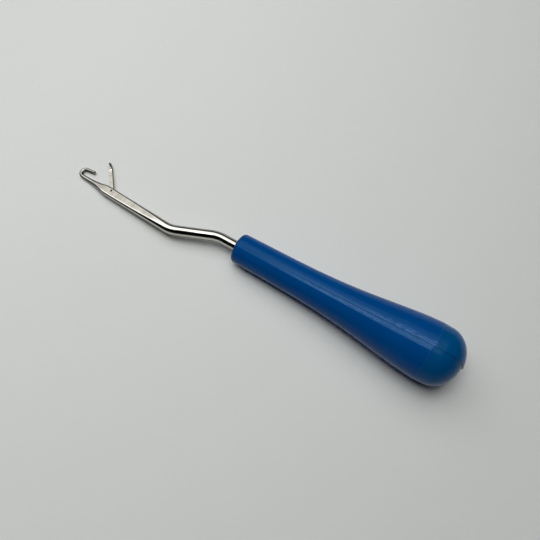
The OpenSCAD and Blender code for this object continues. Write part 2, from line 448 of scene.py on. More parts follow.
@dataclass(frozen=True)
class MouldedPlastic:
    """Dark blue plastic, moulded in a lightly polished tool, with painted shade in the seam and on the dome
    and a painted highlight on the scraped strips and the ring.
    """

    name: str = "moulded_plastic"
    colour: Triple = (0.0, 0.065, 0.256)
    deep_colour: Triple = (0.0, 0.059, 0.237)
    worn_colour: Triple = (0.004, 0.068, 0.250)
    # The dome's own greener tone, darkened as painted shade where it reflects little light.
    dome_shaded_colour: Triple = (0.0, 0.072, 0.222)
    # Near-black painted shade at the bottom of the seam's groove.
    seam_shade_colour: Triple = (0.0, 0.012, 0.050)
    # Lighter colour of the painted highlight on the scraped strips and the ring.
    scraped_highlight_colour: Triple = (0.050, 0.130, 0.37)
    gloss_tint: Triple = (0.38, 0.8, 1.0)
    gloss_level: float = 0.17
    roughness: float = 0.13
    worn_roughness: float = 0.2
    dome_roughness: float = 0.16
    worn_share: float = 0.35
    streak_scale: Triple = (0.12, 1.0, 1.0)
    bump_weights: Triple = (0.12, 0.5, -0.1)
    bump_strength: float = 0.25
    bump_depth: float = 0.0001

    def build(self) -> Material:
        """Makes the material, read by Object coordinates and the handle's masks.

        Returns:
            The material.
        """
        skin = Skin(self.name)
        place = skin.place()
        values = {"Smudge_Scale": 70.0, "Scratch_Scale": 260.0, "Seed": 3.0}
        group = skin.add("ShaderNodeGroup", place, node_tree=handling_marks(), **values)
        smudge, scratch = group.outputs
        seam, dome, scraped = (skin.mask(name) for name in ("seam", "dome", "scraped"))
        cloud = skin.noise(Vector=place, Scale=45.0, Detail=3.0, Roughness=0.55)
        cloud = skin.spread(cloud, 0.35, 0.65)
        highlight_streak = skin.add("ShaderNodeMapping", Vector=place, Scale=self.streak_scale)
        highlight_streak = skin.noise(Vector=highlight_streak, Scale=2400.0, Detail=2.0, Roughness=0.6)
        # Painted highlight: a lighter colour along fine streaks on the scraped strips and the ring.
        highlight_streak = skin.maths("MULTIPLY", skin.spread(highlight_streak, 0.35, 0.7), scraped)
        colour = skin.blend(cloud, self.colour, self.deep_colour)
        for share, tone in (
            # Dome: its greener tone, darkened as painted shade.
            (dome, self.dome_shaded_colour),
            (skin.maths("MULTIPLY", scratch, self.worn_share), self.worn_colour),
            # Scraped strips and ring: painted highlight.
            (highlight_streak, self.scraped_highlight_colour),
            # Seam's bottom: painted shade.
            (seam, self.seam_shade_colour),
        ):
            colour = skin.blend(share, colour, tone)
        rough = skin.spread(smudge, 0.0, 1.0, self.roughness, self.worn_roughness)
        rough = skin.spread(dome, 0.0, 1.0, rough, self.dome_roughness)
        pebble = skin.noise(Vector=place, Scale=1500.0)
        scrape = skin.noise(Vector=place, Scale=2600.0, Detail=3.0, Roughness=0.6)
        scrape = skin.maths("MULTIPLY", scrape, scraped)
        height = skin.noise(Vector=place, Scale=210.0, Detail=1.0, Roughness=0.4)
        for term, weight in zip((pebble, scrape, scratch), self.bump_weights):
            height = skin.maths("MULTIPLY_ADD", term, weight, height)
        height = {"Height": height, "Strength": self.bump_strength, "Distance": self.bump_depth}
        return skin.dress(
            Base_Color=colour,
            Roughness=rough,
            Specular_IOR_Level=self.gloss_level,
            Specular_Tint=self.gloss_tint,
            Normal=skin.add("ShaderNodeBump", **height),
        )


@dataclass(frozen=True)
class NickelPlate:
    """Bright nickel plate, brushed where a mask says so, and darkened with painted shade where another mask
    says so.
    """

    name: str
    colour: Triple = (0.58, 0.57, 0.53)
    brushed_colour: Triple = (0.405, 0.391, 0.342)
    edge_tint: Triple = (0.12, 0.12, 0.12)
    dull_colour: Triple = (0.20, 0.19, 0.155)
    # Near-black colour of the painted shade, for dark reflections and shade in hollows.
    painted_shade_colour: Triple = (0.03, 0.026, 0.022)
    roughness: float = 0.06
    brushed_roughness: float = 0.3
    bar_share: float = 0.9
    smudge_share: float = 0.18
    smudge_roughness: float = 0.05
    scratch_roughness: float = 0.1
    scratch_weight: float = 0.3
    bump_strength: float = 0.35
    bump_depth: float = 0.00004
    line_scale: float = 1900.0
    seed: float = 0.0
    always_brushed: float = 0.0

    def build(self) -> Material:
        """Makes the material, read by Object coordinates and the piece's masks.

        Returns:
            The material.
        """
        skin = Skin(self.name)
        place = skin.place()
        along, pressed, painted_shade = (skin.mask(name) for name in ("along", "pressed", "painted_shade"))
        pressed = skin.maths("MAXIMUM", pressed, self.always_brushed)
        values = {"Smudge_Scale": 160.0, "Scratch_Scale": 700.0, "Seed": self.seed}
        group = skin.add("ShaderNodeGroup", place, node_tree=handling_marks(), **values)
        smudge, scratch = group.outputs
        values = {"Line_Scale": self.line_scale, "Seed": self.seed}
        group = skin.add("ShaderNodeGroup", along, place, node_tree=brush_marks(), **values)
        lines, bands = group.outputs
        bars = skin.maths("MULTIPLY", skin.maths("MULTIPLY", lines, bands), pressed)
        colour = self.colour
        for share, tone in (
            (pressed, self.brushed_colour),
            (skin.maths("MULTIPLY", bars, self.bar_share), self.dull_colour),
            (skin.maths("MULTIPLY", smudge, self.smudge_share), self.dull_colour),
            # The last mask paints shade: it darkens the metal towards a near-black colour.
            (painted_shade, self.painted_shade_colour),
        ):
            colour = skin.blend(share, colour, tone)
        rough = skin.spread(pressed, 0.0, 1.0, self.roughness, self.brushed_roughness)
        rough = skin.maths("MULTIPLY_ADD", smudge, self.smudge_roughness, rough)
        rough = skin.maths("MULTIPLY_ADD", scratch, self.scratch_roughness, rough)
        scratch = skin.maths("MULTIPLY", scratch, self.scratch_weight)
        height = skin.maths("SUBTRACT", skin.maths("MULTIPLY", lines, pressed), scratch)
        height = {"Height": height, "Strength": self.bump_strength, "Distance": self.bump_depth}
        return skin.dress(
            Base_Color=colour,
            Metallic=1.0,
            Roughness=rough,
            Specular_Tint=self.edge_tint,
            Normal=skin.add("ShaderNodeBump", **height),
        )


@dataclass
class Piece(ABC):
    """A piece of the tool, drawn in millimetres in its own frame.

    Its solid is the one that it stands for, whose imported part it hides. Edges
    from its crease up, in degrees, stay sharp.
    """

    stance: Stance
    finish: Material
    solid: ClassVar[str]
    body: ClassVar[Body] = Body.TOOL
    crease: ClassVar[float] = 40.0

    @abstractmethod
    def draw(self) -> tuple[Object, Matrix]:
        """Returns the piece in its own frame, with its masks, and that frame's placing."""

    def build(self) -> Object:
        """Draws the piece, lays it in its place, dresses it and ties it to the frame.

        Returns:
            The piece, riding on its body and standing for its solid.
        """
        piece, place = self.draw()
        piece.data.transform(place)
        piece.data.shade_smooth()
        piece.data.set_sharp_from_angle(angle=math.radians(self.crease))
        piece.data.materials.clear()
        piece.data.materials.append(self.finish)
        piece.data.update()
        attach(piece, self.body.value)
        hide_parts(self.solid)
        return piece


@dataclass
class MouldedHandle(Piece):
    """The plastic handle, made in two mould halves that meet slightly out of line.

    Its frame runs X from the neck end to the butt, and Z up when the tool lies level. The
    ring's form is pairs of shares of its half width and its rise.
    """

    length: float = 90.6
    neck_r: float = 5.85
    neck_edge_r: float = 1.3
    neck_len: float = 9.6
    face_rings: Span = (2.32, 3.4)
    draft: float = 0.95
    butt_r: float = 11.12
    lateness: float = 1.8
    land: float = 2.9
    land_taper: float = 3.0
    dome_len: float = 9.2
    ring_half: float = 0.16
    ring_rise: float = 0.035
    ring_form: tuple[Point, ...] = ((-0.75, 0.12), (-0.25, 0.85), (0.0, 1.0), (0.25, 0.85), (0.75, 0.12))
    # Share of the painted highlight on the witness ring.
    ring_highlight: float = 0.9
    seam_angle: float = 98.0
    seam_half: float = 0.11
    seam_depth: float = 0.10
    seam_start: float = 8.0
    seam_full: float = 46.0
    seam_shade_share: float = 0.8
    pole_slit: float = 0.8
    scrape_angle: float = 10.5
    scrape_share: float = 0.5
    scrape_loss: float = 0.9
    strip_start: float = 14.0
    strip_rise: float = 30.0
    # Where the painted highlight swaps sides of the seam, and how much the weaker side loses.
    highlight_swap: Span = (50.0, 14.0)
    highlight_loss: float = 0.75
    strip_edge: float = 2.0
    seam_floor: float = 0.4
    ring_band: float = 0.6
    ring_low: float = 0.015
    dome_fade: float = 0.6
    face_share: float = 0.9
    slit_columns: Span = (1.0, 1.7)
    edge_columns: Triple = (-0.3, 0.3, 2.5)
    mismatch: float = 0.5
    bore_lead: float = 1.0
    bore_sides: int = 72
    columns: int = 48
    edge_steps: int = 10
    grip_steps: int = 90
    land_steps: int = 7
    dome_steps: int = 30

    solid: ClassVar[str] = "handle"
    crease: ClassVar[float] = 24.0

    @property
    def ring_x(self) -> float:
        """Place of the witness ring from the neck end."""
        return self.length - self.dome_len - self.land

    def radius(self, x: float) -> float:
        """Gives the grip's radius before the witness ring.

        Args:
            x: place along the axis.

        Returns:
            The radius, which flares late towards the butt.
        """
        flare = self.butt_r - self.neck_r - self.ring_x * tan_deg(self.draft)
        rise = max(0.0, x - self.neck_len) / (self.ring_x - self.neck_len)
        return self.neck_r + x * tan_deg(self.draft) + flare * smooth(rise**self.lateness)

    def outline(self) -> list[Point]:
        """Draws the turned outline from the neck end to the butt.

        Returns:
            Pairs of place along the axis and radius.
        """
        edge, half, taper = self.neck_edge_r, self.ring_half, tan_deg(self.land_taper)
        points = [(0.0, r) for r in self.face_rings]
        for a in even(90.0, self.edge_steps, first=0):
            points.append((edge * (1 - cos_deg(a)), self.radius(0.0) - edge * (1 - sin_deg(a))))
        for t in even(1.0, self.grip_steps):
            x = edge + (self.ring_x - half - edge) * t
            points.append((x, self.radius(x)))
        for along, up in self.ring_form:
            points.append((self.ring_x + along * half, self.butt_r + up * self.ring_rise))
        for t in even(1.0, self.land_steps, first=0)[:-1]:
            x = half + (self.land - half) * t
            points.append((self.ring_x + x, self.butt_r - x * taper))
        for a in even(90.0, self.dome_steps, first=0):
            x = self.ring_x + self.land + self.dome_len * sin_deg(a)
            points.append((x, (self.butt_r - self.land * taper) * cos_deg(a)))
        return points

    def turns(self, slit: float) -> list[float]:
        """Spaces a half's columns from one seam to the other.

        Args:
            slit: half the seam's width as an angle.

        Returns:
            The columns' angles, close together by the seams and the scraped strips.
        """
        edge = self.scrape_angle
        near = [slit * share for share in self.slit_columns] + even(edge, 4)[:-1]
        near += [edge + off for off in self.edge_columns]
        rest = 180.0 - 2 * near[-1]
        middle = [near[-1] + a for a in even(rest, self.columns)[:-1]]
        return near + middle + [180.0 - a for a in reversed(near)]

    def seam_share(self, x: float) -> float:
        """Returns how far the seam has opened at a place."""
        return fade(x, self.seam_start, self.seam_full - self.seam_start)

    def scraped(self, x: float, off: float) -> float:
        """Gives how much of the radius the scraper leaves beside a seam.

        Args:
            x: place along the axis.
            off: angle from the seam.

        Returns:
            The share of the radius that is left.
        """
        if off >= self.scrape_angle or x > self.ring_x + self.land:
            return 1.0
        chord = cos_deg(self.scrape_angle) / cos_deg(off)
        late = fade(x, self.seam_full, self.ring_x - self.seam_full)
        share = self.scrape_share * smooth(x / self.seam_start) * (1 - self.scrape_loss * late)
        share *= 1 - fade(x, self.ring_x, self.land)
        return 1 - share * (1 - chord)

    def ring(self, x: float, r: float) -> Loop:
        """Draws one loop of the handle, with its two seams.

        Args:
            x: place along the axis.
            r: radius there.

        Returns:
            The loop's points, from the seam on top and round by the far side.
        """
        lag = self.mismatch * smooth(x / self.ring_x)
        slit, depth = self.pole_slit, 0.0
        if r > self.face_share * self.neck_r:
            slit = math.degrees(self.seam_half / r)
            depth = self.seam_depth * self.seam_share(x)
        floor = max(r * self.scraped(x, 0.0) - depth, 0.0)
        loop: Loop = []
        for start, behind in ((self.seam_angle, 0.0), (self.seam_angle - 180.0, lag)):
            spots = [(x - lag / 2, floor, start)]
            for a in self.turns(slit):
                left = self.scraped(x, min(a, 180.0 - a))
                spots.append((x - behind, r * left, start - a))
            loop += [Vector((at, q * cos_deg(a), q * sin_deg(a))) for at, q, a in spots]
        return loop

    def socket(self) -> list[Object]:
        """Makes the cutters for the tang and its wings.

        Returns:
            The bore and the wings' pocket, in the handle's frame.
        """
        stance, gap = self.stance, self.stance.bond_gap
        bore_r = stance.rod_r + gap
        ends = (-self.bore_lead, stance.tang_len + gap)
        bore = turned("bore", [(x, bore_r) for x in ends], self.bore_sides)
        bore.data.transform(turn(90.0, "Y"))
        long, wide, thick = (size / 2 + gap for size in stance.wing)
        corner = stance.wing_corner
        outline = [(long - corner, wide), (corner - long, wide)]
        outline += [(-long, wide - corner), (-long, corner - wide)]
        outline += [(-x, -y) for x, y in outline]
        rings = [[Vector((x + stance.wing_depth, y, z)) for x, y in outline] for z in (-thick, thick)]
        return [bore, loft("wing_pocket", rings)]

    def marks(self, at: Vector) -> dict[str, float]:
        """Measures the seam's bottom, which gets painted shade, the scraped strips and the ring, which get
        a painted highlight, and the dome.

        Args:
            at: a place on the handle.

        Returns:
            The three masks there.
        """
        x, y, z = at
        r = math.hypot(y, z)
        angle = math.degrees(math.atan2(z, y)) - self.seam_angle
        off = min(abs((angle + d + 180) % 360 - 180) for d in (0.0, 180.0))
        in_seam = r * math.radians(off) < self.seam_floor * self.seam_half
        in_ring = abs(x - self.ring_x + self.mismatch / 2) < self.ring_band
        in_ring = in_ring and r > self.butt_r + self.ring_low
        strip = smooth((self.scrape_angle - off) / self.strip_edge)
        strip *= fade(x, self.strip_start, self.strip_rise)
        # The painted highlight stays strong on the near side of the seam towards the neck and on the far
        # side towards the butt, as the lamp's highlight moves across.
        late = fade(x, *self.highlight_swap)
        on_near_side = (angle + 180) % 360 > 180
        strip *= 1 - self.highlight_loss * (late if on_near_side else 1 - late)
        strip *= 1 - smooth(x - self.ring_x)
        return {
            # The seam's bottom is painted near-black as shade in its groove.
            "seam": self.seam_shade_share * self.seam_share(x) if in_seam else 0.0,
            "scraped": max(strip, self.ring_highlight * in_ring),
            "dome": fade(x + self.mismatch, self.ring_x, self.dome_fade),
        }

    def draw(self) -> tuple[Object, Matrix]:
        """Draws the handle and moulds it round the tang.

        Returns:
            The handle and its frame's placing.
        """
        handle = loft("handle_moulding", (self.ring(x, max(r, 0.0)) for x, r in self.outline()))
        cut(handle, self.socket())
        mark(handle, self.marks)
        return handle, self.stance.handle()


class Station(NamedTuple):
    """One station of the sweep: its place and radius, half the die gap, the width's factor."""

    place: Vector
    radius: float
    press: float = OPEN_DIE
    wide: float = 1.0


@dataclass
class CrankedShank(Piece):
    """The steel shank: tang, cranked rod, pressed blade and hook in one sweep.

    The neck's profile is pairs of place ahead of the rivet and radius. The span of the
    painted shade on the hook's wire is its start ahead of the rivet and its run.
    """

    wing_fade: float = 1.4
    chamfer: float = 0.4
    chamfer_slope: float = 0.7
    blade_t: float = 2.9
    blade_r: float = 2.16
    die_clear: float = 0.04
    cheek_len: float = 2.6
    neck_profile: tuple[Point, ...] = (
        (2.6, 2.14), (4.3, 1.91), (5.7, 1.60), (7.1, 1.33), (9.8, 1.02), (12.6, 0.84), (15.3, 0.76)
    )
    gap_end: Point = (9.0, 1.16)
    wire_r: float = 0.76
    reach: float = 15.3
    turn_r: float = 1.7
    turn_angle: float = 170.0
    point_len: float = 3.8
    point_r: float = 0.62
    saw_r: float = 14.0
    saw_sides: int = 720
    slot_floor: float = 1.15
    slot_w: float = 1.04
    seat_r: float = 0.61
    edge_round: float = 0.78
    weld: float = 0.0008
    mask_start: float = 0.5
    mask_width: float = 0.12
    sides: int = 80
    fine_step: float = 0.4
    coarse_step: float = 1.0
    bend_steps: int = 22
    crank_steps: int = 16
    blade_steps: int = 150
    turn_steps: int = 40
    point_steps: int = 8
    tip_steps: int = 12
    least_r: float = 1e-4
    # Share of painted shade on the hook's wire, for its dark reflections.
    wire_shade: float = 0.38
    wire_shade_span: Span = (4.0, 7.0)

    solid: ClassVar[str] = "shank"
    crease: ClassVar[float] = 38.0

    def blade_radius(self, x: float) -> float:
        """Gives the turned radius of the blade and the hook's arm.

        Args:
            x: place along the blade from its start.

        Returns:
            The radius there, on a smooth curve through the neck's profile.
        """
        rod_r, ahead = self.stance.rod_r, x - self.stance.blade_len
        if ahead <= self.cheek_len:
            shoulder_x = self.stance.blade_len + self.cheek_len
            return rod_r + (self.blade_r - rod_r) * x / shoulder_x
        knots = self.neck_profile
        for k, ((a, low), (b, high)) in enumerate(zip(knots, knots[1:])):
            if ahead <= b:
                before, after = knots[max(k - 1, 0)], knots[min(k + 2, len(knots) - 1)]
                slope_a = (high - before[1]) / (b - before[0]) * (b - a)
                slope_b = (after[1] - low) / (after[0] - a) * (b - a)
                t = (ahead - a) / (b - a)
                curve = slope_a * t * (1 - t) ** 2 - slope_b * t * t * (1 - t)
                return low + (high - low) * smooth(t) + curve
        return self.wire_r

    def half_gap(self, x: float) -> float:
        """Gives half the gap of the dies, which close along the blade.

        Args:
            x: place along the blade from its start.

        Returns:
            Half the gap there.
        """
        t = max(0.0, 1 - x / self.stance.blade_len)
        flat = self.blade_t / 2
        end, low = self.gap_end
        closing = max(0.0, (x - self.stance.blade_len - self.cheek_len) / (end - self.cheek_len))
        opening = self.stance.rod_r + self.die_clear - flat
        return flat + opening * t * t + (low - flat) * closing

    def tang(self) -> Iterator[Station]:
        """Yields the stations from the tang's end to the first bend, in the neck's frame."""
        stance = self.stance
        long, wide, thick = (size / 2 for size in stance.wing)
        x = -stance.tang_len
        while x < stance.lead_end - 0.01:
            off = abs(x + stance.wing_depth)
            share = smooth((long - off) / self.wing_fade)
            loss = max(0.0, self.chamfer - (x + stance.tang_len)) * self.chamfer_slope
            press = stance.rod_r + (thick - stance.rod_r) * share if share > 0 else OPEN_DIE
            factor = 1 + (wide / stance.rod_r - 1) * share
            yield Station(Vector((x, 0, 0)), stance.rod_r - loss, press, factor)
            by_wing = off < long + self.coarse_step
            by_end = x + stance.tang_len < self.coarse_step
            x += self.fine_step if by_wing or by_end else self.coarse_step

    def crank(self) -> Iterator[Station]:
        """Yields the stations of the two bends and the length between them."""
        stance = self.stance
        for a in even(stance.crank_angle, self.bend_steps, first=0)[:-1]:
            at = bend(stance.lead_end, stance.first_bend_r, a, side=-1.0)
            yield Station(at, stance.rod_r)
        crank, run = stance.crank_start(), stance.crank_run
        for x in even(run, self.crank_steps, first=0)[:-1]:
            yield Station(crank @ Vector((x, 0, 0)), stance.rod_r)
        for a in even(stance.second_angle, self.bend_steps, first=0)[:-1]:
            x = math.radians(a - stance.second_angle) * stance.second_bend_r
            at = crank @ bend(run, stance.second_bend_r, a)
            yield Station(at, stance.rod_r, self.half_gap(x))

    def head(self) -> Iterator[Station]:
        """Yields the stations of the blade, the hook and its rounded point."""
        blade, hook_x = self.stance.blade_start(), self.stance.blade_len + self.reach
        for x in even(hook_x, self.blade_steps, first=0)[:-1]:
            yield Station(blade @ Vector((x, 0, 0)), self.blade_radius(x), self.half_gap(x))
        for a in even(self.turn_angle, self.turn_steps, first=0):
            yield Station(blade @ bend(hook_x, self.turn_r, a), self.wire_r)
        last = bend(hook_x, self.turn_r, self.turn_angle)
        ahead = Vector((cos_deg(self.turn_angle), sin_deg(self.turn_angle), 0))
        straight = self.point_len - self.point_r
        for t in even(1.0, self.point_steps):
            radius = self.wire_r + (self.point_r - self.wire_r) * t
            yield Station(blade @ (last + ahead * straight * t), radius)
        for a in even(90.0, self.tip_steps):
            at = last + ahead * (straight + self.point_r * sin_deg(a))
            yield Station(blade @ at, self.point_r * cos_deg(a))

    def path(self) -> Object:
        """Draws the centreline from the tang's end to the hook's point.

        Returns:
            A chain of vertices with the sweep's attributes.
        """
        stations = [*self.tang(), *self.crank(), *self.head()]
        mesh = bpy.data.meshes.new("shank_path")
        edges = [(k, k + 1) for k in range(len(stations) - 1)]
        mesh.from_pydata([station.place for station in stations], edges, [])
        steps = ((b.place - a.place).length for a, b in zip(stations, stations[1:]))
        for name, values in {
            "thick": [max(station.radius, self.least_r) for station in stations],
            "press": [station.press for station in stations],
            "wide": [station.wide for station in stations],
            "along": [travelled * MM for travelled in accumulate(steps, initial=0.0)],
        }.items():
            store(mesh, name, values)
        return link("shank_steel", mesh)

    def sweep_tree(self, values: dict[str, object]) -> bpy.types.NodeTree:
        """Makes the tree that sweeps the bar, presses it and cuts its slot and seat.

        Args:
            values: the tree's inputs after the path, as they will be set.

        Returns:
            The tree.
        """
        tree = bpy.data.node_groups.new("press_and_slot", "GeometryNodeTree")
        kinds = {int: "Int", float: "Float", Vector: "Vector", Material: "Material"}
        sockets = {"Path": "Geometry"} | {name: kinds[type(value)] for name, value in values.items()}
        for name, kind in sockets.items():
            tree.interface.new_socket(name=name, in_out="INPUT", socket_type=f"NodeSocket{kind}")
        tree.interface.new_socket(name="Mesh", in_out="OUTPUT", socket_type="NodeSocketGeometry")
        net = NodeTree(tree)
        given = net.add("NodeGroupInput").outputs
        thick, press, wide = (
            net.add("GeometryNodeInputNamedAttribute", Name=name, data_type="FLOAT").outputs[0]
            for name in ("thick", "press", "wide")
        )
        line = net.add("GeometryNodeMeshToCurve", Mesh=given["Path"])
        line = net.add("GeometryNodeSetCurveNormal", Curve=line, mode="Z_UP")
        ring = {"Resolution": given["Sides"], "Radius": 1.0, "mode": "RADIUS"}
        ring = net.add("GeometryNodeCurvePrimitiveCircle", **ring)
        bar = net.add(
            "GeometryNodeCurveToMesh", Curve=line, Profile_Curve=ring, Scale=thick, Fill_Caps=True
        )
        x, y, z = net.add("ShaderNodeSeparateXYZ", net.add("GeometryNodeInputPosition")).outputs
        height = net.maths("ABSOLUTE", z)
        depth = net.maths("SUBTRACT", thick, press)
        inner = net.maths("SUBTRACT", height, press)
        inner = net.maths("MULTIPLY_ADD", depth, -self.mask_start, inner)
        pressed = {"Name": "pressed", "Value": net.spread(inner, 0.0, self.mask_width)}
        bar = net.add("GeometryNodeStoreNamedAttribute", bar, data_type="FLOAT", **pressed)
        flat = net.maths("SMOOTH_MIN", height, press, given["Edge Round"])
        flat = net.maths("MULTIPLY", flat, net.maths("SIGN", z))
        spot = net.add("ShaderNodeCombineXYZ", x, net.maths("MULTIPLY", y, wide), flat)
        bar = net.add("GeometryNodeSetPosition", Geometry=bar, Position=spot)
        bar = net.add("GeometryNodeMergeByDistance", Geometry=bar, Distance=self.weld)
        for labels in (
            ("Saw Sides", "Saw Radius", "Slot Width", "Saw Centre"),
            ("Sides", "Seat Radius", "Seat Depth", "Seat Centre"),
        ):
            sides, radius, depth, centre = (given[label] for label in labels)
            disc = {"Vertices": sides, "Radius": radius, "Depth": depth, "fill_type": "NGON"}
            disc = net.add("GeometryNodeMeshCylinder", **disc)
            disc = net.add("GeometryNodeTransform", Geometry=disc, Translation=centre)
            bar = {"Mesh_1": bar, "Mesh_2": disc, "operation": "DIFFERENCE", "solver": "EXACT"}
            bar = net.add("GeometryNodeMeshBoolean", **bar)
        bar = net.add("GeometryNodeRealizeInstances", bar)
        bar = net.add("GeometryNodeSetMaterial", Geometry=bar, Material=given["Finish"])
        net.add("NodeGroupOutput", bar)
        return tree

    def shaded_wire(self, at: Vector) -> dict[str, float]:
        """Returns the painted shade at a place in the neck's frame, which darkens the hook's wire for its
        dark reflections.
        """
        ahead = (self.stance.blade_start().inverted() @ at).x - self.stance.blade_len
        return {"painted_shade": self.wire_shade * fade(ahead, *self.wire_shade_span)}

    def draw(self) -> tuple[Object, Matrix]:
        """Sweeps the shank along its path.

        Returns:
            The shank and its frame's placing.
        """
        stance = self.stance
        saw = Vector((stance.blade_len, self.saw_r - self.slot_floor, 0.0))
        values: dict[str, object] = {
            "Sides": self.sides,
            "Saw Sides": self.saw_sides,
            "Edge Round": self.edge_round,
            "Saw Radius": self.saw_r,
            "Slot Width": self.slot_w,
            "Seat Radius": self.seat_r,
            "Seat Depth": 4 * self.blade_t,
            "Saw Centre": stance.blade_start() @ saw,
            "Seat Centre": stance.rivet().translation,
            "Finish": self.finish,
        }
        shank = self.path()
        press = shank.modifiers.new("press_and_slot", "NODES")
        press.node_group = self.sweep_tree(values)
        for item in press.node_group.interface.items_tree:
            if item.name in values:
                press[item.identifier] = values[item.name]
        bake(shank)
        mark(shank, self.shaded_wire)
        return shank, stance.neck()


@dataclass
class SwingingLatch(Piece):
    """The latch: a stamped strip with an eye at its root and a spoon at its end.

    Its frame is the rivet's, with X along the latch and Y towards the spoon's back. Each
    fade of a mask is its start and its run.
    """

    length: float = 14.3
    width: float = 1.42
    thickness: float = 0.9
    eye_r: float = 1.05
    eye_end: float = 1.25
    eye_swell: float = 0.1
    eye_run: float = 0.6
    eye_tip: float = 0.02
    bore_r: float = 0.64
    bore_half: float = 2.0
    bore_sides: int = 46
    spoon_len: float = 3.1
    spoon_outer: float = 0.9
    spoon_inner: float = 0.7
    spoon_dip: float = 10.0
    spoon_sink: float = 0.1
    spoon_lead: float = 1.1
    spoon_tip: float = 0.01
    least_hollow: float = 0.05
    least_cup: float = 0.1
    flat_share: float = 0.9
    cup_start: float = -0.4
    rest: float = 46.5
    square: float = 4.6
    arc: int = 20
    eye_steps: int = 18
    root_steps: int = 8
    strip_steps: int = 12
    rise_steps: int = 14
    hollow_step: int = 3
    spoon_steps: int = 5
    tip_steps: int = 14
    flat_fade: Span = (0.86, 0.1)
    lead_fade: Span = (-1.4, 0.9)
    flank_fade: Span = (0.6, 0.25)
    spoon_fade: Span = (-0.3, 0.6)
    # Shares of painted shade on the flanks, the spoon and the cup's hollow.
    flank_shade: float = 0.7
    spoon_shade: float = 0.6
    cup_shade: float = 0.85

    solid: ClassVar[str] = "latch"
    body: ClassVar[Body] = Body.LATCH

    @property
    def spoon_x(self) -> float:
        """Place of the spoon's start from the rivet."""
        return self.length - self.spoon_len * cos_deg(self.spoon_dip)

    def section(
        self, depth: float, back: float, low: float, hollow: float = 0.0, lip: float = 0.0
    ) -> list[Point]:
        """Draws one cross-section.

        Args:
            depth: half the thickness, along Z.
            back: height of the back over the middle, along Y.
            low: height of the open face.
            hollow: radius of the channel, or 0 for none.
            lip: how round the back is, from 0, square, to 1, a half circle.

        Returns:
            Points of Y and Z, first round the back and then along the open face.
        """
        power = 2.0 / (self.square - (self.square - 2.0) * lip)
        around = [a - 90 for a in even(180.0, self.arc, first=0)]
        points: list[Point] = []
        for c, s in ((cos_deg(a), sin_deg(a)) for a in around):
            y = abs(c) ** power * (back - low)
            points.append((low + y, math.copysign(abs(s) ** power, s) * depth))
        for c, s in ((cos_deg(a), sin_deg(a)) for a in reversed(around)):
            cup, flat = (low + c * hollow, s * hollow), (low, s * depth * self.flat_share)
            points.append(cup if hollow > self.least_hollow else flat)
        return points

    def strip(self) -> Iterator[tuple[float, list[Point]]]:
        """Yields place and section from the eye's root to the spoon's rise."""
        half_w, half_t = self.width / 2, self.thickness / 2
        for a in even(-90.0, self.eye_steps, first=0)[::-1]:
            r = max(self.eye_r * cos_deg(a), self.eye_tip)
            yield self.eye_r * sin_deg(a), self.section(half_t, r, -r)
        for x in even(self.eye_end, self.root_steps):
            r = math.sqrt(max(0.0, self.eye_r**2 - x * x))
            r = max(r, half_w + self.eye_swell * smooth((self.eye_end - x) / self.eye_run))
            yield x, self.section(half_t, r, -r)
        start = self.spoon_x - self.spoon_lead
        for t in even(1.0, self.strip_steps):
            x = self.eye_end + (start - self.eye_end) * t
            yield x, self.section(half_t, half_w, -half_w)
        steps, first = self.rise_steps, self.hollow_step
        for k in range(1, steps + 1):
            t = smooth(k / steps)
            x = start + (self.spoon_x + self.spoon_outer - start) * k / steps
            depth = half_t + (self.spoon_outer - half_t) * t
            back = half_w + (self.spoon_outer - self.spoon_sink - half_w) * t
            low = -half_w + (half_w - self.spoon_sink) * t
            hollow = self.spoon_inner * fade(k, first, steps - first)
            drop = -sin_deg(self.spoon_dip) * max(0.0, x - self.spoon_x)
            yield x, [(y + drop, z) for y, z in self.section(depth, back, low, hollow, t)]

    def spoon(self) -> Iterator[tuple[float, list[Point]]]:
        """Yields place and section of the spoon up to its tip, in the spoon's frame."""
        outer, run = self.spoon_outer, self.spoon_len - self.spoon_outer
        for t in even(1.0, self.spoon_steps):
            shape = self.section(outer, outer, 0.0, self.spoon_inner, lip=1.0)
            yield outer + (run - outer) * t, shape
        for a in even(90.0, self.tip_steps):
            x, r = outer * sin_deg(a), max(outer * cos_deg(a), self.spoon_tip)
            inner = math.sqrt(max(0.0, self.spoon_inner**2 - x * x))
            yield run + x, self.section(r, r, 0.0, inner if inner > self.least_cup else 0.0, lip=1.0)

    def marks(self, at: Vector) -> dict[str, float]:
        """Measures the place along the latch, its brushed flats and its painted shade on the flanks, the
        spoon and its cup.

        Args:
            at: a place on the latch.

        Returns:
            The three masks there.
        """
        ahead = at.x - self.spoon_x
        off = abs(at.z) * 2 / self.thickness
        across = math.hypot(at.y + self.spoon_sink + ahead * tan_deg(self.spoon_dip), at.z)
        in_cup = ahead > self.cup_start and across < (self.spoon_inner + self.spoon_outer) / 2
        flank, spoon = 1 - fade(off, *self.flank_fade), fade(ahead, *self.spoon_fade)
        # Painted shade: darkens the flanks, the spoon and the cup's hollow, for their dark reflections and
        # the shade in the cup.
        flank_and_spoon_shade = self.flank_shade * flank * (1 - spoon) + self.spoon_shade * spoon
        return {
            "along": at.x * MM,
            "pressed": fade(off, *self.flat_fade) * (1 - fade(ahead, *self.lead_fade)),
            "painted_shade": max(flank_and_spoon_shade, self.cup_shade * in_cup),
        }

